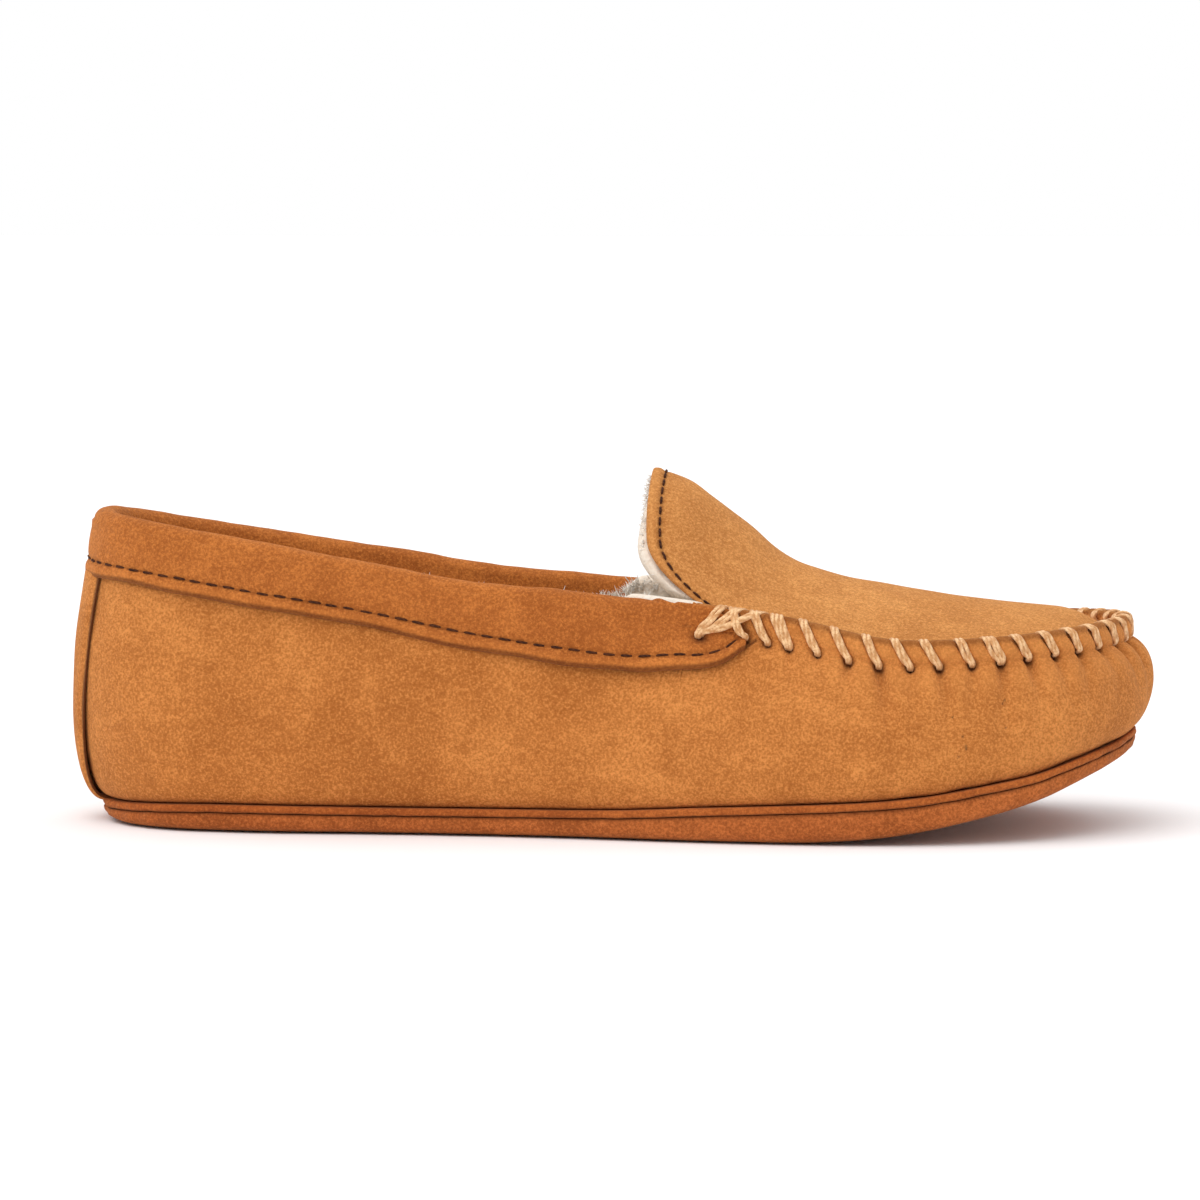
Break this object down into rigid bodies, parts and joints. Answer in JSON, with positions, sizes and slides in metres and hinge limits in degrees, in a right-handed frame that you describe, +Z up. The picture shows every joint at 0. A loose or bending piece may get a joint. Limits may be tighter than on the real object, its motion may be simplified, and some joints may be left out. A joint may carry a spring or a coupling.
{
  "type": "moccasin",
  "caption": "Suede slipper moccasin for the right foot: hand-whipped apron, folded collar band, pile lining and a low suede sole.",
  "frame": {"origin": "centre of the bounding box's bottom face, on the tread plane", "axes": "+X towards the toe, +Y towards the big-toe side of this right shoe, +Z up"},
  "size_m": [0.2644, 0.0952, 0.0867],
  "materials": {
    "suede": "suede nap, dull",
    "suede_collar": "suede nap, dull",
    "suede_sole": "suede nap, dull",
    "suede_welt": "suede nap with a raw edge",
    "shearling": "cut wool pile",
    "waxed_thread": "waxed, slight sheen",
    "machine_thread": "matte",
    "foam": "matte expanded foam",
    "board": "matte fibre board",
    "filler": "matte felt"
  },
  "bodies": {
    "root": {"outsole": "suede_sole", "midsole_foam": "foam", "welt": "suede_welt", "side_wall": "suede", "bottom_filler": "filler", "insole_board": "board", "footbed": "shearling", "heel_counter": "board", "wall_lining": "shearling", "heel_strip": "suede", "topline_foam": "foam", "collar_band": "suede_collar", "plug": "suede", "plug_lining": "shearling", "apron_thread": "waxed_thread", "collar_stitching": "machine_thread", "tongue_stitching": "machine_thread"}
  },
  "joints": []
}
